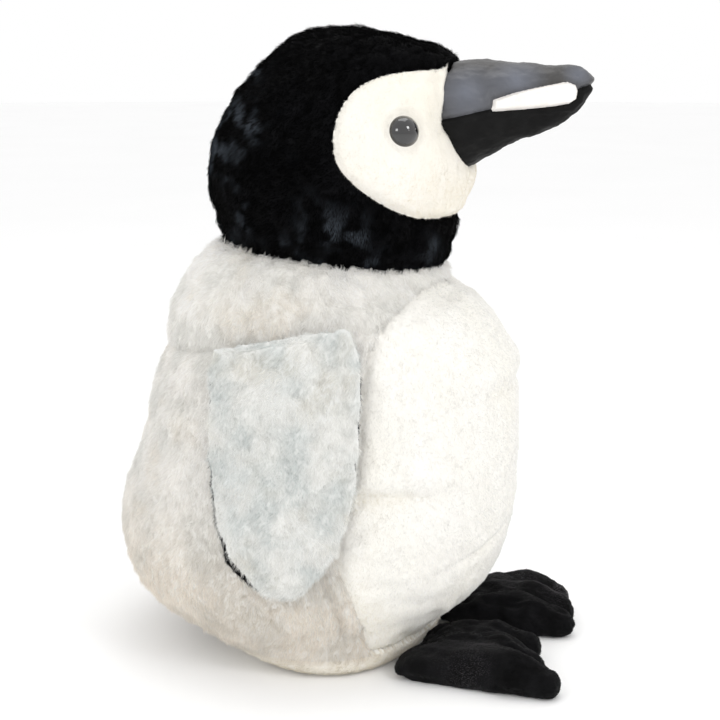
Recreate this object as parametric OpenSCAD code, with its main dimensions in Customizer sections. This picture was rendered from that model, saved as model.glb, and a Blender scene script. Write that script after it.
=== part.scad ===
// Plush penguin chick: sewn plush skins over fibre stuffing, leather beak, safety eyes, hinged flippers and feet.
// +Z is up, the face looks along -Y, and the origin is on the floor under the middle of the toy.

/* [Skins] */
// Thickness of a body panel, backing cloth and pile together
skin_t = 5; // [3:0.5:7]
// Thickness of the beak's leather with its lining
leather_t = 2; // [1.5:0.25:3]

/* [Body] */
// Width of the body at its widest, without the flippers
body_w = 284; // [260:2:300]
// How far forward the belly's side seams run, as a share of their usual place
belly_reach = 1; // [0.8:0.05:1.1]
// Height of the belly panel's top
belly_top = 304; // [290:1:308]
// Radius of the pellet bag in the seat
pellet_bag_r = 78; // [50:1:85]

/* [Head] */
// Width of the head at its widest
head_w = 184; // [170:2:196]
// Diameter of a safety eye
eye_d = 24; // [18:1:28]
// Width of the beak at its base
beak_w = 72; // [66:1:84]

/* [Flippers] */
// Length of a flipper from the shoulder seam to its tip
flipper_l = 188; // [170:2:200]
// Width of a flipper at its widest
flipper_w = 122; // [100:2:126]
// Thickness of a flipper's batting in the middle
batting_t = 7; // [4:0.5:9]

/* [Feet] */
// Thickness of a foot at the toes
foot_t = 30; // [24:1:32]
// Thickness of the sole cloth
sole_t = 2.5; // [1.5:0.5:3]

/* [Hidden] */

black_plush = [0.02, 0.02, 0.025];
grey_plush = [0.78, 0.77, 0.75];
white_plush = [0.95, 0.93, 0.87];
flipper_grey = [0.70, 0.72, 0.70];
black_leather = [0.09, 0.09, 0.10];
fibre = [0.97, 0.97, 0.97];

// Rows of the outer skin, from the floor up: height in the middle, front, back, share of the half width, slope.
// A row is a ring in a plane that rises towards the back by its slope.
body_rows = [
    [0, -52, 50, 0.64, 0],
    [4, -66, 68, 0.77, 0],
    [16, -76, 106, 0.83, 0],
    [36, -88, 156, 0.89, 0],
    [52, -105, 176, 0.93, 0],
    [70, -119, 184, 0.965, 0],
    [102, -129, 188.5, 1, 0],
    [136, -132.5, 182, 1, 0],
    [169, -134, 170.5, 0.975, 0],
    [202, -133, 162, 0.94, 0],
    [235, -130, 154.5, 0.895, 0],
    [262, -119, 148, 0.83, 0.02],
    [286, -103, 137, 0.745, 0.05],
    [306, -86, 121, 0.66, 0.09],
    [322, -80, 103, 0.595, 0.11]
];
head_rows = [
    [322, -80, 103, 0.92, 0.11],
    [343, -84, 108, 0.95, 0.09],
    [360, -90, 110, 0.98, 0.06],
    [376, -97, 111, 1, 0.03],
    [390, -99.5, 110.5, 1, 0],
    [406, -97, 107, 0.985, 0],
    [422, -94, 100.5, 0.945, 0],
    [437, -92, 92, 0.885, 0],
    [452, -90, 82.5, 0.80, -0.01],
    [466, -87, 71, 0.69, -0.04],
    [477, -70, 60, 0.55, -0.05],
    [487, -40, 46, 0.38, -0.03],
    [493.5, -16, 29, 0.19, 0],
    [495.5, -2, 15, 0.07, 0]
];
// Rows of the beak, from inside the head to the tip: distance forward, top, bottom, share of the half width
beak_rows = [
    [-60, 462, 392, 0.98],
    [-86, 468, 386, 1],
    [-98, 469, 388, 0.93],
    [-115, 469, 399, 0.78],
    [-137, 467, 410, 0.63],
    [-157, 465, 416, 0.51],
    [-172, 466, 425, 0.40],
    [-183, 463, 436, 0.27],
    [-189, 454, 446, 0.09]
];
// The mouth line in the side view, as distance forward and height
mouth = [[-60, 421], [-92, 427], [-118, 433], [-135, 434], [-160, 440], [-178, 447], [-200, 455]];
// The hem where the hood meets the body, and the shoulder seam, each as a plane's height at its middle and its slope
hem = [322, 11.5, 0.11];
shoulder = [267, 0, -0.148];
base_seam_z = 16;      // height of the seam round the base panel
ring_n = 36;           // points round a body ring
body_steps = 22;       // rows that the body's skin is drawn with
head_steps = 18;
beak_steps = 12;
ring_power = 2.15;     // 2 is an ellipse, and more is squarer
big = 600;             // larger than the toy, for cutting

eye_at = [-67.5, -61, 417.8]; // middle of the right eye's flat back, pressed a little into the pile
eye_yaw = 51;          // degrees that an eye looks away from straight ahead
eye_tilt = 12;         // degrees that an eye looks up
eye_rise = 9;          // how far an eye's dome stands out
shank_r = 2.5;
shank_l = 17;
washer_r = 9;
washer_t = 2.5;
washer_at = 8;         // depth of the washer behind the eye's flat back
fit_gap = 0.05;        // running clearance round the shank in its washer
loose_gap = 0.4;       // clearance round pieces that are buried in cloth or fibre

seam_r = 2.5;          // radius of the rolled seam at a flipper's or foot's hinge
flipper_hinge = [-120, 19.5, 268]; // middle of the right flipper's hinge line
hinge_rise = 0.19;     // slope of the hinge line, which rises towards the front
flipper_root_l = 108;  // length of the hinge seam
flipper_skin_t = 2.5;
flipper_gap = 2;       // space between a flipper's lining and the body at the root
flipper_flare = 6;     // extra space at the tip
// Outline of a flipper down its length: share of the length, middle's shift backwards, share of the half width
flipper_profile = [
    [0, 0, 0.89], [0.10, -4, 0.97], [0.25, -6.5, 1], [0.42, -8, 0.975], [0.57, -9, 0.93], [0.71, -9, 0.83],
    [0.82, -9, 0.68], [0.90, -8, 0.53], [0.96, -8.5, 0.35], [1, -8.5, 0.14]
];
flipper_cols = 8;

ankle_at = [58, -76, 7]; // middle of the left ankle seam
ankle_l = 72;          // length of the ankle seam
foot_skin_t = 3;
heel_r = 7;
toe_r = 16;            // a toe's ball
tip_r = 11;            // a toe's tip
ball_at = 0.7;         // where the ball is, as a share of the way from the heel to the tip
// Where each toe's tip is, outer toe first. Both feet are turned a little to the toy's left.
toes_right = [[-92, -180], [-60, -162], [-30, -154]];
toes_left = [[90, -159], [60, -168], [29, -173]];
instep_r = 14;         // a toe's instep
pressed = 2;           // how much of the instep and tip the floor presses flat
instep_at = 0.35;      // where the instep is, likewise
toe_fn = 16;           // facets round a toe

// A curve through a table's rows, with u from 0 to 1
function row_at(rows, i) = rows[max(0, min(len(rows) - 1, i))];
function smooth(a, b, c, d, t) =
    0.5 * (2 * b + (c - a) * t + (2 * a - 5 * b + 4 * c - d) * t * t + (3 * b - a - 3 * c + d) * t * t * t);
function along(rows, u) =
    let(n = len(rows) - 1, i = min(floor(u * n), n - 1))
    smooth(row_at(rows, i - 1), row_at(rows, i), row_at(rows, i + 1), row_at(rows, i + 2), u * n - i);
function rounded(v) = sign(v) * pow(abs(v), 2 / ring_power);

// One ring of the skin, set in by d. Angle 0 is the front and 90 the left side.
function ring(row, half_w, d) =
    let(mid = (row[1] + row[2]) / 2, half_d = max((row[2] - row[1]) / 2 - d, 1), w = max(half_w * row[3] - d, 1))
    [for (k = [0 : ring_n - 1])
        let(a = 360 * k / ring_n, y = -half_d * rounded(cos(a)))
        [w * rounded(sin(a)), mid + y, row[0] + row[4] * y]];

// A closed solid through a list of rings, with flat ends
module loft(rings) {
    n = len(rings[0]);
    last = len(rings) - 1;
    polyhedron(
        points = [for (r = rings) each r],
        faces = [
            [for (k = [0 : n - 1]) k],
            for (j = [0 : last - 1], k = [0 : n - 1])
                let(a = j * n + k, b = j * n + (k + 1) % n)
                each [[a, b + n, b], [a, a + n, b + n]],
            [for (k = [n - 1 : -1 : 0]) last * n + k]
        ]
    );
}

// Panels are cut from one skin. Resizing to nothing keeps the size, and hands the result on as one mesh.
module as_mesh() {
    resize([0, 0, 0]) children();
}

// The body set in by d. A cutter runs on past its upper end by over.
body_drawn = [for (j = [0 : body_steps]) along(body_rows, j / body_steps)];
module body_form(d, over = 0) {
    rings = [for (j = [0 : body_steps])
        [for (p = ring(body_drawn[j], body_w / 2, d)) p + [0, 0, max(0, 1 - j / 3) * d]]];
    ends = over > 0 ? [[for (p = rings[body_steps]) p + [0, 0, over]]] : [];
    loft(concat(rings, ends));
}

// The head set in by d. A cutter runs on past its lower end by over.
module head_form(d, over = 0) {
    rings = [for (j = [0 : head_steps])
        [for (p = ring(along(head_rows, j / head_steps), head_w / 2, d))
            p - [0, 0, max(0, 1 - (head_steps - j) / 4) * d]]];
    ends = over > 0 ? [[for (p = rings[0]) p - [0, 0, over]]] : [];
    loft(concat(ends, rings));
}

// The beak set in by d, as upright ovals from inside the head to the tip
beak_n = 20;
function oval(row, d) =
    let(mid = (row[1] + row[2]) / 2, half_h = max((row[1] - row[2]) / 2 - d, 0.8), w = max(beak_w / 2 * row[3] - d, 0.8))
    [for (k = [0 : beak_n - 1])
        let(a = 360 * k / beak_n)
        [-w * rounded(sin(a)), row[0], mid + half_h * rounded(cos(a))]];
module beak_form(d) {
    loft([for (j = [0 : beak_steps])
        [for (p = oval(along(beak_rows, j / beak_steps), d)) p + [0, max(0, 1 - (beak_steps - j) / 2) * d, 0]]]);
}

// Everything above a plane that rises towards the back
module above(plane) {
    translate([0, plane[1], plane[0]])
        rotate([atan(plane[2]), 0, 0])
            translate([-big, -big, 0]) cube([2 * big, 2 * big, big]);
}

// Draws the right side's piece or cutter, or its mirror image on the left
module on_side(side) {
    mirror([side == "left" ? 1 : 0, 0, 0]) children();
}

module half(side) {
    on_side(side) translate([-big, -big, -big]) cube([big, 2 * big, 2 * big]);
}

// An outline in the side view, [y, z], pushed through one half
module through_side(side, points) {
    on_side(side) translate([-big, 0, 0]) rotate([90, 0, 90]) linear_extrude(big) polygon(points);
}

// The cream patch round the eye, which runs on to the throat
face_corners = [[-140, 464], [-100, 464.5], [-75, 464], [-54, 462], [-38, 457.5], [-25, 449.5], [-16, 436], [-12, 418],
    [-14, 400], [-22, 386], [-38, 371], [-57, 358], [-77, 350], [-100, 350], [-140, 350]];
face_edge = [for (j = [0 : 42]) along(face_corners, j / 42)];

// The belly panel's edge in the side view, [y, z], from below the floor to its top
belly_edge = [[-43, -20], [-43, 30], [-37, 72], [-28, 106], [-34, 139], [-42, 180], [-44, 220], [-44, 246],
    [-52, 273], [-67, 294], [-90, 304], [-160, 305]];
// The seam behind the grey strip that edges the belly
strip_edge = [[-28, -20], [-28, 30], [-24, 65], [-15, 104], [-24, 150], [-30, 200], [-31, 245], [-32, 280],
    [-32, 300]];
edge_steps = 22;
function forward_of(edge) =
    concat([for (j = [0 : edge_steps]) along(edge, j / edge_steps)], [[-big, 300], [-big, -20]]);

// An outline in the side view pushed right through the toy
module across(points) {
    translate([-big / 2, 0, 0]) rotate([90, 0, 90]) linear_extrude(big) polygon(points);
}

module belly_cut() {
    across(forward_of([for (p = belly_edge) [p[0] * belly_reach, p[1] * belly_top / 304]]));
}

module strip_cut() {
    across(forward_of(strip_edge));
}

module below_base_seam() {
    translate([-big, -big, base_seam_z - big]) cube([2 * big, 2 * big, big]);
}

module body_skin() {
    difference() {
        body_form(0);
        body_form(skin_t, 1);
    }
}

module head_skin() {
    difference() {
        head_form(0);
        head_form(skin_t, 1);
        beak_form(0);
    }
}

// Head: the black hood, the cream face, the eyes and the beak
module hood(side) {
    color(black_plush) as_mesh() difference() {
        intersection() {
            head_skin();
            half(side);
        }
        through_side(side, face_edge);
    }
}

module in_eye_frame() {
    translate(eye_at) rotate([0, 0, -eye_yaw]) rotate([90 - eye_tilt, 0, 0]) children();
}

module eye_hole() {
    in_eye_frame() {
        cylinder(r = eye_d / 2 + loose_gap, h = eye_rise, $fn = 32);
        translate([0, 0, -shank_l - 1]) cylinder(r = shank_r + loose_gap, h = shank_l + 2, $fn = 20);
    }
}

module washer_hole() {
    in_eye_frame() translate([0, 0, -washer_at - washer_t - loose_gap])
        cylinder(r = washer_r + loose_gap, h = washer_t + 2 * loose_gap, $fn = 28);
}

module face(side) {
    color(white_plush) as_mesh() difference() {
        intersection() {
            head_skin();
            through_side(side, face_edge);
        }
        on_side(side) eye_hole();
    }
}

// A domed plastic eye on its shank
module eye(side) {
    dome_r = (pow(eye_d / 2, 2) + pow(eye_rise, 2)) / (2 * eye_rise);
    color(black_leather) on_side(side) in_eye_frame() {
        rotate_extrude($fn = 64) intersection() {
            translate([0, eye_rise - dome_r]) circle(r = dome_r, $fn = 128);
            square([eye_d, eye_rise + 1]);
        }
        translate([0, 0, -shank_l]) cylinder(r = shank_r, h = shank_l, $fn = 32);
    }
}

module eye_washer(side) {
    color(fibre) on_side(side) in_eye_frame() translate([0, 0, -washer_at - washer_t]) difference() {
        cylinder(r = washer_r, h = washer_t, $fn = 64);
        translate([0, 0, -1]) cylinder(r = shank_r + fit_gap, h = washer_t + 2, $fn = 32);
    }
}

module beak_skin() {
    difference() {
        beak_form(0);
        beak_form(leather_t);
        head_form(skin_t);
    }
}

// Everything above the mouth line
module above_mouth() {
    across(concat(mouth, [[-200, big], [-60, big]]));
}

// The white patch's edge in the side view, [y, z]
patch_edge = [[-118, 431], [-119, 440], [-133, 445], [-148, 449], [-162, 452], [-172, 453.5], [-178, 451],
    [-180, 446], [-179, 440], [-174, 436.5], [-160, 434.5], [-140, 432.5]];

module beak_upper() {
    color(black_leather) as_mesh() difference() {
        intersection() {
            beak_skin();
            above_mouth();
        }
        through_side("right", patch_edge);
        through_side("left", patch_edge);
    }
}

module beak_lower() {
    color(black_leather) as_mesh() difference() {
        beak_skin();
        above_mouth();
        through_side("right", patch_edge);
        through_side("left", patch_edge);
    }
}

module beak_patch(side) {
    color(white_plush) as_mesh() intersection() {
        beak_skin();
        through_side(side, patch_edge);
    }
}

module beak_stuffing() {
    color(fibre) as_mesh() difference() {
        beak_form(leather_t);
        head_form(skin_t);
    }
}

module head_stuffing() {
    color(fibre) as_mesh() difference() {
        head_form(skin_t);
        for (side = ["right", "left"]) on_side(side) {
            eye_hole();
            washer_hole();
        }
    }
}

// Body: the grey collar, sides and strips, the white belly, the base and the filling
module yoke(side) {
    color(grey_plush) as_mesh() difference() {
        intersection() {
            body_skin();
            half(side);
            above(shoulder);
        }
        belly_cut();
    }
}

module side_panel(side) {
    color(grey_plush) as_mesh() difference() {
        intersection() {
            body_skin();
            half(side);
        }
        above(shoulder);
        strip_cut();
        below_base_seam();
    }
}

module front_strip(side) {
    color(grey_plush) as_mesh() difference() {
        intersection() {
            body_skin();
            half(side);
            strip_cut();
        }
        belly_cut();
        above(shoulder);
        below_base_seam();
    }
}

module belly() {
    color(white_plush) as_mesh() difference() {
        intersection() {
            body_skin();
            belly_cut();
        }
        below_base_seam();
    }
}

module base() {
    color(white_plush) as_mesh() intersection() {
        body_skin();
        below_base_seam();
    }
}

bag_t = 1;             // thickness of the pellet bag's cotton
bag_at = [0, 26, 96];
module body_stuffing() {
    color(fibre) difference() {
        body_form(skin_t);
        translate(bag_at) sphere(r = pellet_bag_r + loose_gap, $fn = 48);
    }
}

module pellet_bag() {
    color(fibre) translate(bag_at) difference() {
        sphere(r = pellet_bag_r, $fn = 48);
        sphere(r = pellet_bag_r - bag_t, $fn = 48);
    }
}

module pellets() {
    color(fibre) translate(bag_at) sphere(r = pellet_bag_r - bag_t, $fn = 48);
}

// Flippers: two skins over a thin batting, following the body's side and hanging from a rolled seam
half_widths = [for (r = body_drawn) [r[0], r[3] * body_w / 2]];
fronts = [for (r = body_drawn) [r[0], r[1]]];
backs = [for (r = body_drawn) [r[0], r[2]]];
function side_at(y, z) =
    let(f = lookup(z, fronts), b = lookup(z, backs), v = abs(y - (f + b) / 2) / ((b - f) / 2))
    lookup(z, half_widths) * pow(max(0, 1 - pow(v, ring_power)), 1 / ring_power);
function seam_z(y, t) = flipper_hinge[2] - hinge_rise * (1 - t) * (y - flipper_hinge[1]);
flipper_half_t = batting_t / 2 + flipper_skin_t;
function batting_at(t, s) = 0.4 + (batting_t - 0.4) * (1 - pow(s, 4)) * (1 - pow(t, 6));

// A point of the flipper: t runs down its length, s across it from front to back, and out is away from its middle
function flipper_point(row, s, out) =
    let(t = row[0], y = flipper_hinge[1] + row[1] + s * row[2] * flipper_w / 2,
        z = seam_z(y, t) - seam_r - t * (flipper_l - seam_r),
        gap = flipper_gap + flipper_flare * t * t + flipper_half_t)
    [-max(-flipper_hinge[0], side_at(y, z) + gap) - out, y, z];

// A closed sheet between two distances from the flipper's middle, each given as a share of the batting and a thickness
module flipper_layer(inner, outer) {
    rows = len(flipper_profile);
    n = flipper_cols + 1;
    sheet = rows * n;
    function point(k, c, side) =
        let(row = flipper_profile[k], s = 2 * c / flipper_cols - 1)
        flipper_point(row, s, side[0] * batting_at(row[0], s) / 2 + side[1]);
    edge = concat(
        [for (c = [0 : flipper_cols - 1]) [0, c]],
        [for (k = [0 : rows - 2]) [k, flipper_cols]],
        [for (c = [flipper_cols : -1 : 1]) [rows - 1, c]],
        [for (k = [rows - 1 : -1 : 1]) [k, 0]]);
    polyhedron(
        points = [for (side = [inner, outer], k = [0 : rows - 1], c = [0 : flipper_cols]) point(k, c, side)],
        faces = [
            for (k = [0 : rows - 2], c = [0 : flipper_cols - 1])
                let(a = k * n + c)
                each [[a, a + 1, a + n], [a + 1, a + n + 1, a + n],
                    [a + sheet, a + n + sheet, a + 1 + sheet], [a + 1 + sheet, a + n + sheet, a + n + 1 + sheet]],
            for (j = [0 : len(edge) - 1])
                let(p = edge[j], q = edge[(j + 1) % len(edge)], a = p[0] * n + p[1], b = q[0] * n + q[1])
                each [[b, a, a + sheet], [b, a + sheet, b + sheet]]
        ]
    );
}

module flipper_seam(side) {
    color(flipper_grey) on_side(side) translate(flipper_hinge) rotate([90 - atan(hinge_rise), 0, 0])
        cylinder(r = seam_r, h = flipper_root_l, center = true, $fn = 32);
}

module flipper_outer(side) {
    color(flipper_grey) as_mesh() on_side(side) flipper_layer([1, 0], [1, flipper_skin_t]);
}

module flipper_batting(side) {
    color(fibre) as_mesh() on_side(side) flipper_layer([-1, 0], [1, 0]);
}

module flipper_lining(side) {
    color(black_plush) as_mesh() on_side(side) flipper_layer([-1, -flipper_skin_t], [-1, 0]);
}

// Feet: a gathered top, a sole and the filling, hanging from an ankle seam
function ankle(side) = side == "left" ? ankle_at : [-ankle_at[0], ankle_at[1], ankle_at[2]];

module foot_form(side, d) {
    heel = [ankle(side)[0], ankle_at[1] - seam_r - heel_r, heel_r];
    tips = side == "left" ? toes_left : toes_right;
    function on_toe(k, share, z) =
        let(root = heel[0] + (1 - k) * ankle_l / 3 * sign(heel[0]))
        [root + share * (tips[k][0] - root), heel[1] + share * (tips[k][1] - heel[1]), z];
    for (k = [0 : len(tips) - 1]) hull() {
        translate(heel) rotate([0, 90, 0])
            cylinder(r = heel_r - d, h = ankle_l - 2 * d, center = true, $fn = toe_fn);
        translate(on_toe(k, instep_at, instep_r - pressed)) sphere(r = instep_r - d, $fn = toe_fn);
        translate(on_toe(k, ball_at, foot_t - toe_r)) sphere(r = toe_r - d, $fn = toe_fn);
        translate(on_toe(k, 1, tip_r - pressed)) sphere(r = tip_r - d, $fn = toe_fn);
    }
}

module above_sole(z) {
    translate([-big, -big, z]) cube([2 * big, 2 * big, big]);
}

module foot_top(side) {
    color(black_plush) as_mesh() intersection() {
        difference() {
            foot_form(side, 0);
            foot_form(side, foot_skin_t);
        }
        above_sole(sole_t);
    }
}

module foot_sole(side) {
    color(black_plush) as_mesh() difference() {
        intersection() {
            foot_form(side, 0);
            above_sole(0);
        }
        above_sole(sole_t);
    }
}

module foot_stuffing(side) {
    color(fibre) as_mesh() intersection() {
        foot_form(side, foot_skin_t);
        above_sole(sole_t);
    }
}

module ankle_seam(side) {
    color(black_plush) translate(ankle(side)) rotate([0, 90, 0])
        cylinder(r = seam_r, h = ankle_l, center = true, $fn = 32);
}

hood("right");  // hood_right
hood("left");  // hood_left
face("right");  // face_right
face("left");  // face_left
beak_upper();
beak_lower();
beak_patch("right");  // beak_patch_right
beak_patch("left");  // beak_patch_left
beak_stuffing();
eye("right");  // eye_right
eye("left");  // eye_left
eye_washer("right");  // eye_washer_right
eye_washer("left");  // eye_washer_left
head_stuffing();
yoke("right");  // yoke_right
yoke("left");  // yoke_left
side_panel("right");  // side_right
side_panel("left");  // side_left
front_strip("right");  // front_strip_right
front_strip("left");  // front_strip_left
belly();
base();
body_stuffing();
pellet_bag();
pellets();
flipper_seam("right");  // flipper_seam_right
flipper_outer("right");  // flipper_outer_right
flipper_batting("right");  // flipper_batting_right
flipper_lining("right");  // flipper_lining_right
flipper_seam("left");  // flipper_seam_left
flipper_outer("left");  // flipper_outer_left
flipper_batting("left");  // flipper_batting_left
flipper_lining("left");  // flipper_lining_left
ankle_seam("right");  // ankle_seam_right
foot_top("right");  // foot_top_right
foot_sole("right");  // foot_sole_right
foot_stuffing("right");  // foot_stuffing_right
ankle_seam("left");  // ankle_seam_left
foot_top("left");  // foot_top_left
foot_sole("left");  // foot_sole_left
foot_stuffing("left");  // foot_stuffing_left
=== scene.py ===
"""Looks of the plush penguin: sewn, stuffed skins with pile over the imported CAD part."""

import math  # noqa: E402

import bmesh  # noqa: E402
import bpy  # noqa: E402
import numpy as np  # noqa: E402
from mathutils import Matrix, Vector  # noqa: E402
from mathutils.bvhtree import BVHTree  # noqa: E402


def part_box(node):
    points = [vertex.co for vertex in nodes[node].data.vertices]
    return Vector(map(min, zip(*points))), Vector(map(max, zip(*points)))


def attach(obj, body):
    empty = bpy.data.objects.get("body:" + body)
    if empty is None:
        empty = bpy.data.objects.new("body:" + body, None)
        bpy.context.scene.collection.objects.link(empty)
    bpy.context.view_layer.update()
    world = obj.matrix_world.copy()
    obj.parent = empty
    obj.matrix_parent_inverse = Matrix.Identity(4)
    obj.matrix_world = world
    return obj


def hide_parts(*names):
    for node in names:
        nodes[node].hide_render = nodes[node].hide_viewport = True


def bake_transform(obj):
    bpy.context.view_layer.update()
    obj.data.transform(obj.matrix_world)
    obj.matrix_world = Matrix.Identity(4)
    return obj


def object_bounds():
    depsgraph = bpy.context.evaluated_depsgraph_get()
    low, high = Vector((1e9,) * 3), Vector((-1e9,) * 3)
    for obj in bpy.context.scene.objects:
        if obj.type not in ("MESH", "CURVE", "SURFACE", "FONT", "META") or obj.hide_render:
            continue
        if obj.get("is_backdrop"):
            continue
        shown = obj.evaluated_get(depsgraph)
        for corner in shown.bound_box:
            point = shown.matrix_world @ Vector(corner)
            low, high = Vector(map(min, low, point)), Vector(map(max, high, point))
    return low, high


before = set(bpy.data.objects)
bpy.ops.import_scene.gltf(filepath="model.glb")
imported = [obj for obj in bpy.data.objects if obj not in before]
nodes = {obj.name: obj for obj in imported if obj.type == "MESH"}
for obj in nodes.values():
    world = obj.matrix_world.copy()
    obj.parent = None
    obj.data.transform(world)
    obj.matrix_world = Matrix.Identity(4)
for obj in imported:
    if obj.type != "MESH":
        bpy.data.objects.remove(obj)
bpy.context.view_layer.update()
scene = bpy.context.scene
MM = 0.001
SIDES = ("right", "left")

# squares that each skin is remeshed into, in metres
TORSO_SQUARE = 0.0055
BEAK_SQUARE = 0.0022
FLIPPER_SQUARE = 0.0024
FOOT_SQUARE = 0.0026

# how far out a stuffed skin may be pressed, and how low it may reach, in metres
TORSO_PRESS = 0.007
FOOT_PRESS = 0.002
TORSO_FLOOR = 0.0003
FOOT_FLOOR = 0.0004

# room left under the CAD surface for the pile, in metres
FACE_ROOM = 0.0012
BELLY_ROOM = 0.0030
HOOD_ROOM = 0.0030
GREY_ROOM = 0.0040

EYE_CLEAR = 0.0125     # radius round an eye with no pile


# ---------------------------------------------------------------- numbers and noise
def unit(v):
    return v / np.maximum(np.linalg.norm(v, axis=-1, keepdims=True), 1e-12)


def smoothstep(a, b, x):
    t = np.clip((x - a) / (b - a), 0, 1)
    return t * t * (3 - 2 * t)


def bump(x, centre, width):
    return np.exp(-(((x - centre) / width) ** 2))


_lattices = {}


def noise(p, size, seed=0):
    """Smooth random values from -1 to 1 at points p, with features of the given size in metres."""
    if seed not in _lattices:
        _lattices[seed] = np.random.default_rng(seed).uniform(-1, 1, (32, 32, 32))
    lattice = _lattices[seed]
    q = p / size + seed * 7.31
    i = np.floor(q).astype(int)
    f = q - i
    f = f * f * f * (f * (f * 6 - 15) + 10)
    total = 0
    for dx in (0, 1):
        for dy in (0, 1):
            for dz in (0, 1):
                w = (
                    (f[..., 0] if dx else 1 - f[..., 0])
                    * (f[..., 1] if dy else 1 - f[..., 1])
                    * (f[..., 2] if dz else 1 - f[..., 2])
                )
                total = total + w * lattice[
                    (i[..., 0] + dx) % 32, (i[..., 1] + dy) % 32, (i[..., 2] + dz) % 32
                ]
    return total * 1.4


def fractal(p, size, seed=0, octaves=3):
    return sum(noise(p, size / 2**k, seed + k) / 2**k for k in range(octaves)) / 1.6


# ---------------------------------------------------------------- meshes
def coords(me):
    co = np.empty(len(me.vertices) * 3, np.float32)
    me.vertices.foreach_get("co", co)
    return co.reshape(-1, 3).astype(float)


def set_coords(me, co):
    me.vertices.foreach_set("co", np.ascontiguousarray(co, np.float32).ravel())
    me.update()


def normals(me):
    n = np.empty(len(me.vertices) * 3, np.float32)
    me.vertex_normals.foreach_get("vector", n)
    return n.reshape(-1, 3).astype(float)


def add_object(name, me):
    obj = bpy.data.objects.new(name, me)
    scene.collection.objects.link(obj)
    return obj


def joined(name, names):
    """One mesh holding copies of these CAD nodes."""
    bm = bmesh.new()
    for n in names:
        bm.from_mesh(nodes[n].data)
    bmesh.ops.remove_doubles(bm, verts=bm.verts, dist=1e-6)
    me = bpy.data.meshes.new(name)
    bm.to_mesh(me)
    bm.free()
    return add_object(name, me)


def applied(obj):
    """The object's mesh with its modifiers applied, in place."""
    dg = bpy.context.evaluated_depsgraph_get()
    me = bpy.data.meshes.new_from_object(obj.evaluated_get(dg), depsgraph=dg)
    obj.modifiers.clear()
    old, obj.data = obj.data, me
    bpy.data.meshes.remove(old)
    return obj


def biggest_part(obj):
    bm = bmesh.new()
    bm.from_mesh(obj.data)
    seen, parts = set(), []
    for v in bm.verts:
        if v in seen:
            continue
        part, todo = [], [v]
        seen.add(v)
        while todo:
            w = todo.pop()
            part.append(w)
            for e in w.link_edges:
                o = e.other_vert(w)
                if o not in seen:
                    seen.add(o)
                    todo.append(o)
        parts.append(part)
    parts.sort(key=lambda part: -(max(v.co.z for v in part) - min(v.co.z for v in part)))
    for part in parts[1:]:
        bmesh.ops.delete(bm, geom=part, context="VERTS")
    bm.to_mesh(obj.data)
    bm.free()
    return obj


def remeshed(name, names, voxel):
    """A closed mesh of even squares round the union of these CAD nodes."""
    obj = joined(name, names)
    mod = obj.modifiers.new("remesh", "REMESH")
    mod.mode, mod.voxel_size = "VOXEL", voxel
    return biggest_part(applied(obj))


def edges_of(me):
    e = np.empty(len(me.edges) * 2, np.int32)
    me.edges.foreach_get("vertices", e)
    return e.reshape(-1, 2)


def smoothed(co, edges, rounds, keep=None):
    """Averages each point with its neighbours, without shrinking."""
    count = np.bincount(edges.ravel(), minlength=len(co))[:, None]
    for k in range(rounds * 2):
        mean = np.zeros_like(co)
        np.add.at(mean, edges[:, 0], co[edges[:, 1]])
        np.add.at(mean, edges[:, 1], co[edges[:, 0]])
        step = (mean / np.maximum(count, 1) - co) * (0.5 if k % 2 == 0 else -0.52)
        co = co + (step if keep is None else step * (1 - keep[:, None]))
    return co


def tree_of(node):
    me = nodes[node].data
    return BVHTree.FromPolygons(
        [v.co for v in me.vertices], [p.vertices[:] for p in me.polygons]
    )


def distances(co, names):
    """Distance of each point from each CAD node."""
    out = np.empty((len(names), len(co)))
    for k, n in enumerate(names):
        tree = tree_of(n)
        out[k] = [tree.find_nearest(p)[3] for p in co.tolist()]
    return out


def subdivided(me, co, fields, levels):
    """The mesh and its point fields after smooth subdivision."""
    me = me.copy()
    set_coords(me, co)
    for name, values in fields.items():
        a = me.attributes.new(name, "FLOAT", "POINT")
        a.data.foreach_set("value", values.astype(np.float32))
    obj = add_object("subdivide", me)
    mod = obj.modifiers.new("subdivide", "SUBSURF")
    mod.levels = mod.render_levels = levels
    applied(obj)
    me = obj.data
    found = {}
    for name in fields:
        a = np.empty(len(me.vertices), np.float32)
        me.attributes[name].data.foreach_get("value", a)
        found[name] = a.astype(float)
        me.attributes.remove(me.attributes[name])
    bpy.data.objects.remove(obj)
    return me, found


def puffed(obj, held, pressure=4.0, growth=0.03, frames=20, limit=0.008):
    """Cloth simulation of a stuffed skin: the filling presses out and the seams, in held, stay put."""
    rest = coords(obj.data)
    group = obj.vertex_groups.new(name="held")
    for i in np.nonzero(held > 0.01)[0]:
        group.add([int(i)], float(min(held[i], 1)), "REPLACE")
    mod = obj.modifiers.new("cloth", "CLOTH")
    s = mod.settings
    s.quality = 5
    s.mass = 0.3
    s.tension_stiffness = s.compression_stiffness = 12
    s.shear_stiffness = 5
    s.bending_stiffness = 0.15
    s.use_pressure = True
    s.uniform_pressure_force = pressure
    s.vertex_group_mass = "held"
    s.pin_stiffness = 2
    s.shrink_min = -growth
    s.effector_weights.gravity = 0
    mod.point_cache.frame_start, mod.point_cache.frame_end = 1, frames
    for f in range(1, frames + 1):
        scene.frame_set(f)
    dg = bpy.context.evaluated_depsgraph_get()
    me = obj.evaluated_get(dg).to_mesh()
    now = coords(me)
    obj.evaluated_get(dg).to_mesh_clear()
    obj.modifiers.clear()
    scene.frame_set(1)
    move = now - rest
    far = np.linalg.norm(move, axis=1, keepdims=True)
    return rest + move * np.minimum(1, limit / np.maximum(far, 1e-9))


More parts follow.
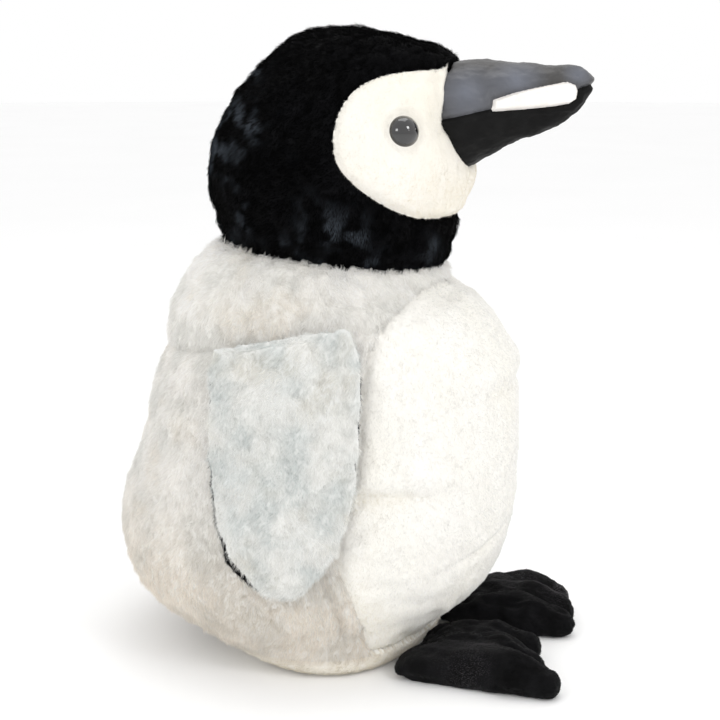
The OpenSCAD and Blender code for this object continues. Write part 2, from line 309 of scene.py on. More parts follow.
# ---------------------------------------------------------------- materials
def shader(name, colour, rough=0.9, sheen=0.0, coat=0.0, specular=0.3):
    m = bpy.data.materials.new(name)
    m.use_nodes = True
    t = m.node_tree
    b = t.nodes["Principled BSDF"]
    b.inputs["Base Color"].default_value = (*colour, 1)
    b.inputs["Roughness"].default_value = rough
    b.inputs["Sheen Weight"].default_value = sheen
    b.inputs["Sheen Roughness"].default_value = 0.5
    b.inputs["Coat Weight"].default_value = coat
    b.inputs["Specular IOR Level"].default_value = specular
    return m, t, b


def textured(m, t, b, colours, sizes, bumps, stretch=(1, 1, 1)):
    """Colour that wanders between two tones, and bump from noises of these sizes (metres) and heights."""
    place = t.nodes.new("ShaderNodeTexCoord")
    scale = t.nodes.new("ShaderNodeMapping")
    scale.inputs["Scale"].default_value = stretch
    t.links.new(place.outputs["Object"], scale.inputs["Vector"])
    ramp = t.nodes.new("ShaderNodeValToRGB")
    ramp.color_ramp.elements[0].position = 0.3
    ramp.color_ramp.elements[1].position = 0.7
    for k in (0, 1):
        ramp.color_ramp.elements[k].color = (*colours[k], 1)
    tone = t.nodes.new("ShaderNodeTexNoise")
    tone.inputs["Scale"].default_value = 1 / sizes[0]
    tone.inputs["Detail"].default_value = 5
    t.links.new(scale.outputs["Vector"], tone.inputs["Vector"])
    t.links.new(tone.outputs["Fac"], ramp.inputs["Fac"])
    t.links.new(ramp.outputs["Color"], b.inputs["Base Color"])
    last = None
    for size, height in bumps:
        n = t.nodes.new("ShaderNodeTexNoise")
        n.inputs["Scale"].default_value = 1 / size
        n.inputs["Detail"].default_value = 4
        t.links.new(scale.outputs["Vector"], n.inputs["Vector"])
        k = t.nodes.new("ShaderNodeBump")
        k.inputs["Strength"].default_value = 0.7
        k.inputs["Distance"].default_value = height
        t.links.new(n.outputs["Fac"], k.inputs["Height"])
        if last:
            t.links.new(last.outputs["Normal"], k.inputs["Normal"])
        last = k
    t.links.new(last.outputs["Normal"], b.inputs["Normal"])
    return m


def plush(name, dark, light, tone=0.03, sheen=0.2, specular=0.3, rough_by=1.0):
    return textured(
        *shader(name, light, 0.95, sheen, 0, specular), (dark, light), (tone,),
        ((0.006, 0.0012 * rough_by), (0.0016, 0.0006 * rough_by)), (1, 1, 0.5),
    )


def patched(t, b, spots, tint):
    """Lightens the colour towards a tint round some points, each with its own reach in metres: a painted highlight.
    """
    old = b.inputs["Base Color"].links[0].from_socket
    place = t.nodes.new("ShaderNodeTexCoord")
    for centre, reach in spots:
        scale = t.nodes.new("ShaderNodeMapping")
        scale.inputs["Scale"].default_value = (1 / reach,) * 3
        scale.inputs["Location"].default_value = [-c / reach for c in centre]
        ball = t.nodes.new("ShaderNodeTexGradient")
        ball.gradient_type = "SPHERICAL"
        mix = t.nodes.new("ShaderNodeMix")
        mix.data_type = "RGBA"
        t.links.new(place.outputs["Object"], scale.inputs["Vector"])
        t.links.new(scale.outputs["Vector"], ball.inputs["Vector"])
        t.links.new(ball.outputs["Fac"], mix.inputs["Factor"])
        t.links.new(old, mix.inputs["A"])
        mix.inputs["B"].default_value = (*tint, 1)
        old = mix.outputs["Result"]
    t.links.new(old, b.inputs["Base Color"])


def leather(name, dark, light, rough, specular, spots=(), tint=(0, 0, 0)):
    m, t, b = shader(name, light, rough, 0, 0, specular)
    textured(m, t, b, (dark, light), (0.012,), ((0.005, 0.0005), (0.0012, 0.00022)))
    # the spots, if any, are a painted highlight in the leather's colour
    patched(t, b, spots, tint)
    return m


MAT = {
    "black_plush": plush("hood_pile", (0.0010, 0.0010, 0.0012), (0.004, 0.004, 0.005), 0.03, 0.02, 0.1),
    "cream_velour": plush("cream_velour", (0.84, 0.80, 0.71), (0.88, 0.855, 0.80), 0.05, 0.1),
    "grey_plush": plush("grey_pile", (0.70, 0.69, 0.66), (0.82, 0.80, 0.76), 0.03),
    "white_plush": plush("belly_pile", (0.88, 0.86, 0.80), (0.90, 0.885, 0.85), 0.05, rough_by=0.3),
    "base_plush": plush("base_pile", (0.82, 0.78, 0.70), (0.88, 0.85, 0.79), 0.03, rough_by=0.5),
    "flipper_plush": plush("flipper_pile", (0.64, 0.66, 0.65), (0.78, 0.775, 0.75), 0.03),
    "black_lining": plush("lining_pile", (0.002, 0.002, 0.002), (0.006, 0.006, 0.007), 0.03, 0.02, 0.1),
    "black_velboa": plush("foot_velboa", (0.002, 0.002, 0.002), (0.007, 0.007, 0.008), 0.02, 0.05, 0.1),
    "white_fleece": plush("patch_fleece", (0.86, 0.82, 0.77), (0.93, 0.90, 0.87), 0.01, 0.1),
    # the upper beak's lighter blue-grey spots are a painted reflection of the lamps
    "beak_top": leather(
        "beak_leather", (0.046, 0.044, 0.043), (0.072, 0.070, 0.070), 0.44, 0.42,
        (((-0.034, -0.100, 0.446), 0.030), ((-0.020, -0.135, 0.455), 0.024), ((-0.010, -0.180, 0.460), 0.014)),
        (0.13, 0.14, 0.17),
    ),
    "beak_low": leather("beak_leather_black", (0.003, 0.003, 0.003), (0.007, 0.007, 0.007), 0.60, 0.12),
    "eye": textured(
        *shader("eye_gloss", (0.003, 0.003, 0.003), 0.04, 0, 1.0, 0.6),
        ((0.002, 0.002, 0.002), (0.006, 0.005, 0.005)), (0.01,), ((0.02, 0.00002),),
    ),
}


def strand_material(name, rough=0.85, through=0.25, specular=0.25):
    """Pile whose colour is stored on each strand."""
    m, t, b = shader(name, (0.5, 0.5, 0.5), rough, 0.0, 0.0, specular)
    tint = t.nodes.new("ShaderNodeAttribute")
    tint.attribute_name = "tint"
    t.links.new(tint.outputs["Color"], b.inputs["Base Color"])
    glow = t.nodes.new("ShaderNodeBsdfTranslucent")
    t.links.new(tint.outputs["Color"], glow.inputs["Color"])
    mix = t.nodes.new("ShaderNodeMixShader")
    mix.inputs["Fac"].default_value = through
    out = t.nodes["Material Output"]
    t.links.new(b.outputs["BSDF"], mix.inputs[1])
    t.links.new(glow.outputs["BSDF"], mix.inputs[2])
    t.links.new(mix.outputs["Shader"], out.inputs["Surface"])
    return m


PALE_STRAND = strand_material("pale_strands", 0.9, 0.3, 0.15)
DARK_STRAND = strand_material("dark_strands", 0.6, 0.02, 0.04)


# ---------------------------------------------------------------- pile
def mixed(colours, tone):
    """Colours between two, by a share for each point."""
    tone = tone * tone * (3 - 2 * tone)
    return np.array(colours[0]) * (1 - tone[:, None]) + np.array(colours[1]) * tone[:, None]


def near(p, spots):
    """How close points are to some places, the same on both sides. Each place is (x, y, z, reach), in mm."""
    q = np.stack([np.abs(p[:, 0]), p[:, 1], p[:, 2]], 1)
    return sum(np.exp(-(((q - np.array(s[:3]) * MM) ** 2).sum(1)) / (s[3] * MM) ** 2) for s in spots)


def fur(name, obj, body, per_mm2, length, colours, lift, comb, seed, thick=0.16, mess=0.35, tuft=0.006,
        tuft_push=0.5, keep=None, dark=False, paint=None, swirl_push=0.4):
    """Strands growing from a piece, combed along comb(points) and gathered into tufts.

    Their colours wander between two tones, or come from paint(points).
    """
    me = obj.data
    me.calc_loop_triangles()
    tri = np.empty(len(me.loop_triangles) * 3, np.int32)
    me.loop_triangles.foreach_get("vertices", tri)
    tri = tri.reshape(-1, 3)
    co, nv = coords(me), normals(me)
    a, b, c = co[tri[:, 0]], co[tri[:, 1]], co[tri[:, 2]]
    area = np.linalg.norm(np.cross(b - a, c - a), axis=1) / 2
    rng = np.random.default_rng(seed)
    density = per_mm2 * 1
    thick = thick * 1
    count = int(area.sum() * 1e6 * density)
    pick = rng.choice(len(tri), count, p=area / area.sum())
    u, v = rng.random(count), rng.random(count)
    flip = u + v > 1
    u[flip], v[flip] = 1 - u[flip], 1 - v[flip]
    w = 1 - u - v
    t = tri[pick]
    p = w[:, None] * co[t[:, 0]] + u[:, None] * co[t[:, 1]] + v[:, None] * co[t[:, 2]]
    n = unit(w[:, None] * nv[t[:, 0]] + u[:, None] * nv[t[:, 1]] + v[:, None] * nv[t[:, 2]])
    if keep is not None:
        k = keep(p) > rng.random(len(p))
        p, n = p[k], n[k]
    way = comb(p)
    way = unit(way - n * (way * n).sum(1, keepdims=True))
    swirl = np.stack([noise(p, 0.03, seed + k) for k in (1, 2, 3)], 1)
    gather = np.stack([noise(p, tuft, seed + k) for k in (4, 5, 6)], 1)
    stray = rng.normal(0, 1, p.shape)
    way = unit(way + swirl_push * swirl + tuft_push * gather + mess * stray * 0.5)
    way = unit(way - n * (way * n).sum(1, keepdims=True))
    long = length * (1 + 0.18 * noise(p, tuft, seed + 7) + 0.15 * rng.normal(0, 1, len(p)))
    rise = lift * (1 + 0.35 * noise(p, tuft * 1.3, seed + 8) + 0.2 * rng.normal(0, 1, len(p)))
    rise = np.clip(rise, 0.05, 1.5)[:, None]
    steps = (0, 0.35, 0.7, 1)
    pts = np.empty((len(p), 4, 3))
    here = p - n * 0.0004
    pts[:, 0] = here
    for k in range(1, 4):
        s = (steps[k] + steps[k - 1]) / 2
        d = unit(n * rise * (1.25 - s) + way * (0.35 + 1.1 * s) + 0.12 * stray)
        here = here + d * (long * (steps[k] - steps[k - 1]))[:, None]
        pts[:, k] = here
    if paint is None:
        tone = np.clip(0.5 + 0.75 * fractal(p, 0.03, seed + 9), 0, 1)
        col = mixed(colours, tone)
    else:
        col = paint(p)
    col = col * (1 + 0.08 * rng.normal(0, 1, (len(p), 1)))
    col = np.clip(col, 0, 0.96)
    data = bpy.data.hair_curves.new(name)
    data.add_curves([4] * len(p))
    data.points.foreach_set("position", pts.astype(np.float32).ravel())
    taper = np.array([1, 0.9, 0.65, 0.2]) * thick * MM / 2
    data.points.foreach_set("radius", np.tile(taper, len(p)).astype(np.float32))
    tint = data.attributes.new("tint", "FLOAT_COLOR", "CURVE")
    tint.data.foreach_set("color", np.concatenate([col, np.ones((len(col), 1))], 1).astype(np.float32).ravel())
    data.materials.append(DARK_STRAND if dark else PALE_STRAND)
    hair = bpy.data.objects.new(name, data)
    scene.collection.objects.link(hair)
    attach(hair, body)
    return hair


def toward(x, y, z):
    return lambda p: np.tile(np.array([x, y, z], float), (len(p), 1))


# ---------------------------------------------------------------- splitting a skin into its panels
def panel_faces(me, far):
    """Panel of each face, from the points' distances to each CAD node."""
    count = len(me.polygons)
    corner = np.empty(len(me.loops), np.int32)
    me.loops.foreach_get("vertex_index", corner)
    total = np.empty(count, np.int32)
    me.polygons.foreach_get("loop_total", total)
    start = np.concatenate([[0], np.cumsum(total)[:-1]])
    mean = np.stack([np.add.reduceat(f[corner], start) for f in far]) / total
    return mean.argmin(0), corner, total


def snapped(co, me, far, names, label, corner, total):
    """Moves the points on a border between two panels on to the CAD seam between them."""
    face_of = np.repeat(np.arange(len(total)), total)
    low = np.full(len(co), 99)
    high = np.full(len(co), -1)
    np.minimum.at(low, corner, label[face_of])
    np.maximum.at(high, corner, label[face_of])
    border = np.nonzero(low != high)[0]
    trees = {}
    co = co.copy()
    for i in border:
        a, b = int(low[i]), int(high[i])
        other = b if far[a][i] < far[b][i] else a
        if other not in trees:
            trees[other] = tree_of(names[other])
        hit = trees[other].find_nearest(Vector(co[i]))
        if hit[3] is not None and hit[3] < 0.003:
            co[i] = hit[0]
    return co


def pieces_of(me, label, names):
    """One object for each panel."""
    made = {}
    for k, n in enumerate(names):
        if not (label == k).any():
            continue
        bm = bmesh.new()
        bm.from_mesh(me)
        bm.faces.ensure_lookup_table()
        drop = [f for f in bm.faces if label[f.index] != k]
        bmesh.ops.delete(bm, geom=drop, context="FACES")
        piece = bpy.data.meshes.new(n)
        bm.to_mesh(piece)
        bm.free()
        piece.polygons.foreach_set("use_smooth", [True] * len(piece.polygons))
        made[n] = add_object(n, piece)
    return made


def clad(piece, name, material):
    """Names a piece and gives it its one material."""
    piece.data.materials.clear()
    piece.data.materials.append(MAT[material])
    piece.name = name


def seam_gap(far):
    """How far each point is from the nearest seam."""
    s = np.sort(far, axis=0)
    return np.maximum(s[1] - s[0], 0)


def eye_line(side):
    """A point on an eye's axis, and the way it looks."""
    dome = coords(nodes[f"eye_{side}"].data).mean(0)
    washer = coords(nodes[f"eye_washer_{side}"].data).mean(0)
    return dome, unit(dome - washer)


# ---------------------------------------------------------------- head and body skin
SKINS = [
    "hood_right", "hood_left", "face_right", "face_left", "yoke_right", "yoke_left", "side_right", "side_left",
    "front_strip_right", "front_strip_left", "belly", "base",
]
HOOD, FACE, BELLY = (0, 1), (2, 3), 10     # places in that list

shell = remeshed("torso_skin", SKINS + ["body_stuffing", "head_stuffing"], TORSO_SQUARE)
rest = coords(shell.data)
links = edges_of(shell.data)
rest = smoothed(rest, links, 4, 0.8 * smoothstep(0.030, 0.008, rest[:, 2]))
set_coords(shell.data, rest)
far = distances(rest, SKINS)
gap = seam_gap(far)
held = 1 - smoothstep(0.001, 0.010, gap)
full = puffed(shell, held * 0.9 + 0.02, pressure=3.0, growth=0.035, limit=TORSO_PRESS)
# the belly is stuffed tight, so the small buckles of its cloth are eased out
full = rest + smoothed(full - rest, links, 8, np.where(far.argmin(0) == BELLY, 0.0, 0.75))
fields = {f"far{k}": far[k] for k in range(len(SKINS))}
skin, fine = subdivided(shell.data, rest, fields, 2)
full_me, _ = subdivided(shell.data, full, {}, 2)
far = np.stack([fine[f"far{k}"] for k in range(len(SKINS))])
flat = coords(skin)
move = coords(full_me) - flat
label, corner, total = panel_faces(skin, far)
flat = snapped(flat, skin, far, SKINS, label, corner, total)
set_coords(skin, flat)
out = normals(skin)
gap = seam_gap(far)
owner = far.argmin(0)
x, y, z = flat.T

is_hood = np.isin(owner, HOOD)
is_face = np.isin(owner, FACE)
is_belly = owner == BELLY
deep = np.where(is_face, FACE_ROOM, np.where(is_belly, BELLY_ROOM, GREY_ROOM))
deep = np.where(is_hood, HOOD_ROOM, deep)
push = -deep - 0.0026 * np.exp(-((gap / 0.004) ** 2))
push += (
    np.where(is_face, 0.0002, 0.0012) * fractal(flat, 0.022, 11)
    + np.where(is_face | is_belly, 0, 0.0006) * fractal(flat, 0.007, 15)
)
# the face is pressed in round each eye
for side in SIDES:
    middle, axis = eye_line(side)
    off = flat - middle
    reach = np.linalg.norm(off - (off @ axis)[:, None] * axis, axis=1)
    push -= 0.0022 * smoothstep(0.019, 0.012, reach) * ((off @ axis) > -0.03)
# creases of the belly, and the gathers in its lower edge over the feet
push += np.where(is_belly, 1, 0) * (
    -0.0045 * bump(z, 0.152 + 0.05 * (y + 0.08), 0.005) * smoothstep(-0.115, -0.06, y) * smoothstep(0, 0.01, gap)
    + 0.0030 * bump(z, 0.166 + 0.05 * (y + 0.08), 0.009) * smoothstep(-0.12, -0.07, y)
    + 0.0030 * bump(z, 0.232, 0.010) * bump(y, -0.131, 0.03)
    - 0.0030 * bump(z, 0.217, 0.006) * bump(y, -0.131, 0.03)
    - 0.0040 * bump(z, 0.098 + 0.25 * (x + 0.05), 0.0045) * bump(x, -0.05, 0.035)
    + 0.0010 * fractal(flat * np.array([1, 1, 0.45]), 0.03, 21)
    - 0.0050 * near(flat, ((66, -86, 44, 7), (74, -70, 26, 6), (80, -58, 12, 5), (50, -94, 60, 7)))
    + 0.0030 * near(flat, ((62, -88, 34, 8), (76, -66, 19, 7), (58, -92, 52, 8)))
)
# the filling is flat and heavy where it stands on the floor
standing = smoothstep(np.where(is_belly, 0.016, 0.036), np.where(is_belly, 0.003, 0.010), z)
push = push * (1 - standing) + 0.0006 * standing
moved = flat + move * (1 - standing[:, None]) + out * push[:, None]
moved[:, 2] = np.maximum(moved[:, 2], TORSO_FLOOR)
set_coords(skin, moved)
panels = pieces_of(skin, label, SKINS)
for n, piece in panels.items():
    kind = n.replace("_right", "").replace("_left", "")
    slot_name = {
        "hood": "black_plush", "face": "cream_velour", "belly": "white_plush", "base": "white_plush",
    }.get(kind, "grey_plush")
    clad(piece, n + "_pile", "base_plush" if kind == "base" else slot_name)
    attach(piece, "torso")
    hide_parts(n)
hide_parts("body_stuffing")
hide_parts("head_stuffing")
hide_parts("pellet_bag", "pellets")
bpy.data.objects.remove(shell)


# ---------------------------------------------------------------- beak
BEAK = ["beak_upper", "beak_lower", "beak_patch_right", "beak_patch_left"]
shell = remeshed("beak_skin", BEAK + ["beak_stuffing"], BEAK_SQUARE)
rest = smoothed(coords(shell.data), edges_of(shell.data), 4)
set_coords(shell.data, rest)
far = distances(rest, BEAK)
bskin, fine = subdivided(shell.data, rest, {f"far{k}": far[k] for k in range(4)}, 1)
far = np.stack([fine[f"far{k}"] for k in range(4)])
flat = coords(bskin)
label, corner, total = panel_faces(bskin, far)
flat = snapped(flat, bskin, far, BEAK, label, corner, total)
set_coords(bskin, flat)
out = normals(bskin)
gap = seam_gap(far)
owner = far.argmin(0)
patch = owner >= 2
push = -0.0019 * np.exp(-((gap / 0.0016) ** 2)) + 0.0009 * np.exp(-(((gap - 0.0035) / 0.002) ** 2))
push += (
    np.where(patch, 0.0014, 0.0) * smoothstep(0.0003, 0.002, gap)
    + np.where(patch, 0.0003, 0) * fractal(flat, 0.003, 31)
)
push += np.where(patch, 0, 0.0011) * fractal(flat * np.array([1, 1.0, 1.6]), 0.014, 33, 4)
push += np.where(patch, 0, 1) * (
    -0.0022 * near(flat, ((26, -113, 441, 7), (22, -106, 450, 6), (8, -176, 458, 6)))
    + 0.0016 * near(flat, ((24, -122, 449, 8), (32, -100, 452, 9), (10, -168, 461, 6), (4, -184, 456, 5)))
    - 0.0012 * near(flat, ((20, -150, 424, 9), (26, -128, 416, 9)))
)
set_coords(bskin, flat + out * push[:, None])
for n, piece in pieces_of(bskin, label, BEAK).items():
    slot_name = "white_fleece" if "patch" in n else "black_leather"
    leather_name = "beak_top" if n == "beak_upper" else "beak_low"
    clad(piece, n + "_skin", "white_fleece" if "patch" in n else leather_name)
    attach(piece, "torso")
    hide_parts(n)
    panels[n] = piece
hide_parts("beak_stuffing")
bpy.data.objects.remove(shell)

# ---------------------------------------------------------------- flippers
for side in SIDES:
    names = [f"flipper_outer_{side}", f"flipper_lining_{side}"]
    inside = [f"flipper_batting_{side}", f"flipper_seam_{side}"]
    shell = remeshed(f"flipper_{side}_skin", names + inside, FLIPPER_SQUARE)
    rest = smoothed(coords(shell.data), edges_of(shell.data), 2)
    set_coords(shell.data, rest)
    far = distances(rest, names)
    # the outer cloth turns over the rim, and the lining shows only behind and below
    low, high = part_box(f"flipper_outer_{side}")
    front_top, back_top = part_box(f"flipper_seam_{side}")
    root = back_top[2] - (rest[:, 1] - front_top[1]) / (back_top[1] - front_top[1]) * (back_top[2] - front_top[2])
    down_by = (root - rest[:, 2]) / (high[2] - low[2])
    back_by = (rest[:, 1] - (low[1] + high[1]) / 2) / (high[1] - low[1]) * 2
    rear = smoothstep(0.05, 0.35, back_by) * smoothstep(0.30, 0.45, down_by)
    below = smoothstep(0.62, 0.86, down_by) * smoothstep(-0.15, 0.25, back_by)
    front = smoothstep(-0.5, -0.8, back_by) * smoothstep(0.15, 0.22, down_by) * smoothstep(0.5, 0.4, down_by)
    far[0] += -0.0030 + 0.0062 * rear + 0.0010 * below + 0.0030 * front - 0.02 * smoothstep(0.10, 0.04, down_by)
    fskin, fine = subdivided(shell.data, rest, {"a": far[0], "b": far[1]}, 1)
    far = np.stack([fine["a"], fine["b"]])
    flat = coords(fskin)
    label = panel_faces(fskin, far)[0]
    out = normals(fskin)
    gap = seam_gap(far)
    tip = smoothstep(low[2] + 0.075, low[2] + 0.03, flat[:, 2])
    push = -0.0015 + 0.0020 * tip + 0.0014 * fractal(flat, 0.024, 41) + 0.0007 * fractal(flat, 0.009, 45)
    push = push - 0.0012 * np.exp(-((gap / 0.002) ** 2))
    set_coords(fskin, flat + out * push[:, None])
    made = pieces_of(fskin, label, names)
    low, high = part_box(f"flipper_seam_{side}")
    for n, piece in made.items():
        outer = "outer" in n
        clad(piece, n + "_pile", "flipper_plush" if outer else "black_lining")
        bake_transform(piece)
        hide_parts(n)
        panels[n] = piece
    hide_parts(f"flipper_batting_{side}", f"flipper_seam_{side}")
    bpy.data.objects.remove(shell)

# ---------------------------------------------------------------- feet
for side in SIDES:
    names = [f"foot_top_{side}", f"foot_sole_{side}"]
    inside = [f"foot_stuffing_{side}", f"ankle_seam_{side}"]
    shell = remeshed(f"foot_{side}_skin", names + inside, FOOT_SQUARE)
    rest = smoothed(coords(shell.data), edges_of(shell.data), 1)
    set_coords(shell.data, rest)
    far = distances(rest, names)
    held = 1 - smoothstep(0.001, 0.006, seam_gap(far))
    full = puffed(shell, held, pressure=3.0, growth=0.05, limit=FOOT_PRESS)
    fskin, fine = subdivided(shell.data, rest, {"a": far[0], "b": far[1]}, 1)
    full_me, _ = subdivided(shell.data, full, {}, 1)
    far = np.stack([fine["a"], fine["b"]])
    flat = coords(fskin)
    move = coords(full_me) - flat
    label = panel_faces(fskin, far)[0]
    out = normals(fskin)
    inner = smoothstep(0.078, 0.060, np.abs(flat[:, 0]))
    folds = fractal(flat * np.array([1, 0.3, 0.8]), 0.010, 51)
    heel = smoothstep(-0.120, -0.085, flat[:, 1])
    push = 0.0006 * fractal(flat, 0.02, 53) + (0.0005 + 0.0017 * inner) * folds + 0.0003 * fractal(flat, 0.005, 55)
    push += 0.0006 + 0.0040 * heel * smoothstep(0.003, 0.010, flat[:, 2])
    push -= 0.0030 * inner * near(flat, ((58, -128, 28, 9), (46, -112, 26, 7), (30, -140, 26, 7)))
    now = flat + move + out * push[:, None]
    now[:, 1] += 0.009 * heel * smoothstep(0.024, 0.006, flat[:, 2]) * smoothstep(0.055, 0.070, np.abs(flat[:, 0]))
    now[:, 2] = np.maximum(now[:, 2], FOOT_FLOOR)
    set_coords(fskin, now)
    low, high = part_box(f"ankle_seam_{side}")
    for n, piece in pieces_of(fskin, label, names).items():
        clad(piece, n + "_pile", "black_velboa")
        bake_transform(piece)
        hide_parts(n)
        panels[n] = piece
    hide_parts(f"foot_stuffing_{side}", f"ankle_seam_{side}")
    bpy.data.objects.remove(shell)

# ---------------------------------------------------------------- eyes
for side in SIDES:
    eye = nodes[f"eye_{side}"]
    eye.data.materials.clear()
    eye.data.materials.append(MAT["eye"])
    for f in eye.data.polygons:
        f.use_smooth = True

# ---------------------------------------------------------------- pile on every plush piece
def with_painted_sheen(spots, base, shine, size, cut=0.05):
    """Dark pile with painted sheen: a lighter colour painted in flecks near some places."""
    def paint(p):
        # painted sheen: a mask of lighter flecks, strongest near the given places
        sheen_marks = np.clip(1.9 * fractal(p, size, 61) - cut, 0, 1)
        sheen_marks = sheen_marks * np.clip(0.6 + 1.2 * fractal(p, 3.5 * size, 65), 0, 1)
        amount = np.clip(near(p, spots), 0, 1) * sheen_marks
        return mixed((base, shine), np.clip(amount, 0, 1))
    return paint


def washed(cool, warm, tan, size=0.026):
    """Pale pile that wanders between a cool and a warm tone, with a few tan places."""
    def paint(p):
        col = mixed((cool, warm), np.clip(0.55 + 0.9 * fractal(p, size, 71), 0, 1))
        spots = np.clip(1.5 * fractal(p, 1.3 * size, 75) - 0.45, 0, 1)[:, None]
        return col * (1 - 0.6 * spots) + np.array(tan) * 0.6 * spots
    return paint


def painted_light_by_height(paint):
    """The same pile, with painted light making it paler at the shoulders, and painted shade making it darker and
    yellower towards the floor.
    """
    def lit_and_shaded(p):
        high = smoothstep(0.24, 0.30, p[:, 2])[:, None]
        low = smoothstep(0.16, 0.05, p[:, 2])[:, None]
        return paint(p) * (1 + 0.06 * high) * (1 - low * np.array([0.05, 0.09, 0.14]))
    return lit_and_shaded


def velour(p):
    """The cream face, darker and warmer towards the throat under the beak: painted shade, with some random tone."""
    low = np.clip(smoothstep(0.425, 0.375, p[:, 2]) * 0.8 + 0.25 * fractal(p, 0.03, 81), 0, 1)
    return mixed(((0.875, 0.862, 0.825), (0.855, 0.80, 0.70)), low)


def snowy(p):
    """The white belly, creamier at its edges, low down and in its creases: painted shade, with some random tone."""
    edge = np.clip(
        smoothstep(-0.075, -0.040, p[:, 1]) * 0.5 + smoothstep(0.10, 0.03, p[:, 2]) * 0.5
        + 0.6 * bump(p[:, 2], 0.152, 0.008) * smoothstep(-0.11, -0.07, p[:, 1]) + 0.3 * fractal(p, 0.04, 83), 0, 1)
    return mixed(((0.900, 0.892, 0.872), (0.94, 0.90, 0.82)), edge)


# places on the hood where a blue-grey sheen is painted into the black pile
HOOD_SHINE = (
    (73, 74, 372, 34), (82, 54, 403, 30), (66, 90, 345, 26), (87, 14, 338, 30), (49, -69, 332, 34),
    (78, -20, 330, 26), (30, -86, 335, 22), (60, 80, 420, 22), (20, 108, 370, 30), (40, 60, 462, 16),
)
hood_paint = with_painted_sheen(HOOD_SHINE, (0.0005, 0.0005, 0.0006), (0.070, 0.082, 0.098), 0.013, 0.02)
# painted sheen: a broad lighter patch on the outer side of each black foot
foot_paint = with_painted_sheen(
    ((95, -120, 20, 48), (95, -160, 15, 34)), (0.0012, 0.0012, 0.0014), (0.115, 0.108, 0.115), 0.03, -0.9
)
# grey pile: random tones and tan stains, with painted light at the shoulders and painted shade low down
grey_paint = painted_light_by_height(washed((0.825, 0.820, 0.795), (0.935, 0.915, 0.885), (0.85, 0.80, 0.73)))
flipper_paint = washed((0.74, 0.765, 0.755), (0.895, 0.89, 0.865), (0.77, 0.75, 0.69), 0.020)
down = toward(0, 0.1, -1)


def clear_of_eye(side):
    """No pile grows under the eye."""
    middle, axis = eye_line(side)

    def keep(p):
        off = p - middle
        return (np.linalg.norm(off - (off @ axis)[:, None] * axis, axis=1) > EYE_CLEAR).astype(float)
    return keep


for side in SIDES:
    fur(f"hood_{side}_strands", panels[f"hood_{side}"], "torso", 1.1, 0.0042, None, 0.7, toward(0, 0.5, -0.7), 101,
        0.22, dark=True, paint=hood_paint, tuft_push=0.35)
    for n in ("yoke", "side", "front_strip"):
        fur(f"{n}_{side}_strands", panels[f"{n}_{side}"], "torso", 1.0, 0.0058, None, 0.42, down, 111, 0.2,
            paint=grey_paint, tuft=0.005, tuft_push=0.4)
    fur(f"face_{side}_strands", panels[f"face_{side}"], "torso", 1.2, 0.0015, None, 0.9, toward(0, 0.8, -0.3), 121,
        0.15, keep=clear_of_eye(side), paint=velour, tuft_push=0.15, swirl_push=0.2)
    fur(f"flipper_{side}_strands", panels[f"flipper_outer_{side}"], f"flipper_{side}", 1.1, 0.0048, None, 0.5, down,
        131, 0.2, paint=flipper_paint, tuft=0.005, tuft_push=0.4)
    fur(f"lining_{side}_strands", panels[f"flipper_lining_{side}"], f"flipper_{side}", 0.7, 0.0026,
        ((0.002, 0.002, 0.002), (0.008, 0.008, 0.009)), 0.7, down, 133, 0.2, dark=True)
    fur(f"foot_{side}_strands", panels[f"foot_top_{side}"], f"foot_{side}", 1.4, 0.0014, None, 0.8,
        toward(0, -1, -0.2), 141, 0.16, dark=True, paint=foot_paint, tuft_push=0.2)
fur("belly_strands", panels["belly"], "torso", 1.5, 0.0020, None, 0.9, down, 151, 0.18, paint=snowy, mess=0.25,
    tuft=0.004, tuft_push=0.12, swirl_push=0.2)
fur("base_strands", panels["base"], "torso", 0.9, 0.0035, ((0.82, 0.77, 0.67), (0.90, 0.86, 0.78)), 0.5,
    toward(0, 1, 0), 153, 0.2)

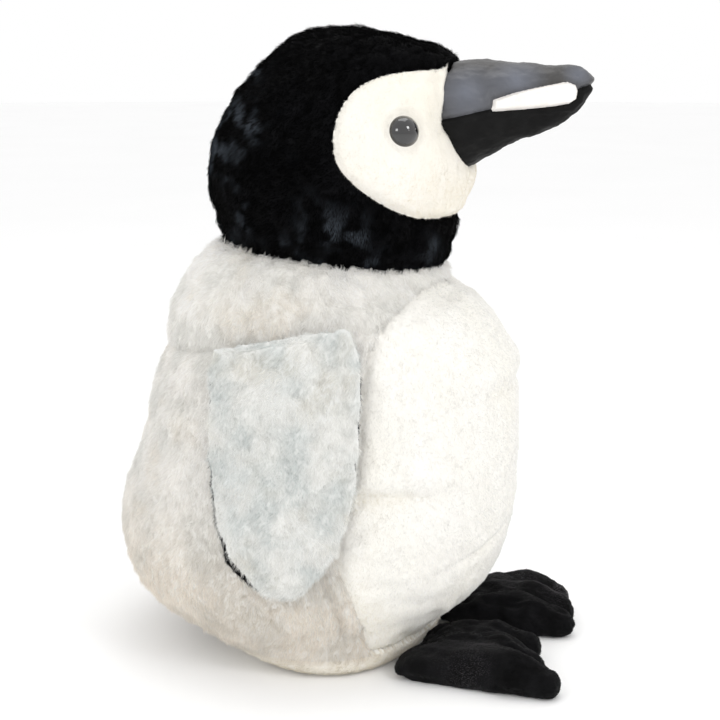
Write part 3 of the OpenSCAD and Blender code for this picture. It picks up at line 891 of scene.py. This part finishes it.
# ---------------------------------------------------------------- stage, light and camera
floor_me = bpy.data.meshes.new("floor")
ring = [(12 * math.cos(k * math.pi / 32), 12 * math.sin(k * math.pi / 32), -0.0002) for k in range(64)]
floor_me.from_pydata(ring, [], [list(range(64))])
floor = add_object("floor", floor_me)
fm, ft, fb = shader("floor_paint", (0.97, 0.97, 0.97), 0.8, 0, 0, 0.1)
floor_tones = ((0.965, 0.965, 0.965), (0.98, 0.98, 0.98))
floor_me.materials.append(textured(fm, ft, fb, floor_tones, (0.5,), ((0.01, 0.0001),)))
floor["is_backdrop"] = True

world = bpy.data.worlds.new("studio")
scene.world = world
world.use_nodes = True
world.node_tree.nodes["Background"].inputs["Color"].default_value = (1, 1, 1, 1)
world.node_tree.nodes["Background"].inputs["Strength"].default_value = 1.0


def lamp(name, place, aim, size, watts, colour=(1, 1, 1)):
    data = bpy.data.lights.new(name, "AREA")
    data.shape, data.size, data.size_y = "RECTANGLE", size[0], size[1]
    data.energy, data.color = watts, colour
    obj = bpy.data.objects.new(name, data)
    scene.collection.objects.link(obj)
    obj.location = place
    obj.rotation_euler = (Vector(aim) - Vector(place)).to_track_quat("-Z", "Y").to_euler()
    obj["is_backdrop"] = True


lamp("key", (-0.9, -1.5, 1.5), (0, 0, 0.25), (0.5, 0.5), 7)
lamp("fill", (-1.7, 0.7, 1.0), (0, 0, 0.25), (0.5, 0.5), 4)
lamp("top", (0.3, 0.0, 1.9), (0, 0, 0.2), (1.0, 1.0), 5)

cam_data = bpy.data.cameras.new("camera")
cam_data.lens, cam_data.sensor_width = 74, 36
cam_data.dof.use_dof = False
cam = bpy.data.objects.new("camera", cam_data)
scene.collection.objects.link(cam)
az, el, reach = math.radians(-74), math.radians(12), 1.2
aim = Vector((0, -0.008, 0.230))
back = Vector((math.sin(az) * math.cos(el), -math.cos(az) * math.cos(el), math.sin(el)))
cam.location = aim + back * reach
cam.rotation_euler = (-back).to_track_quat("-Z", "Y").to_euler()
scene.camera = cam
scene.view_settings.view_transform = "Standard"

low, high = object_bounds()
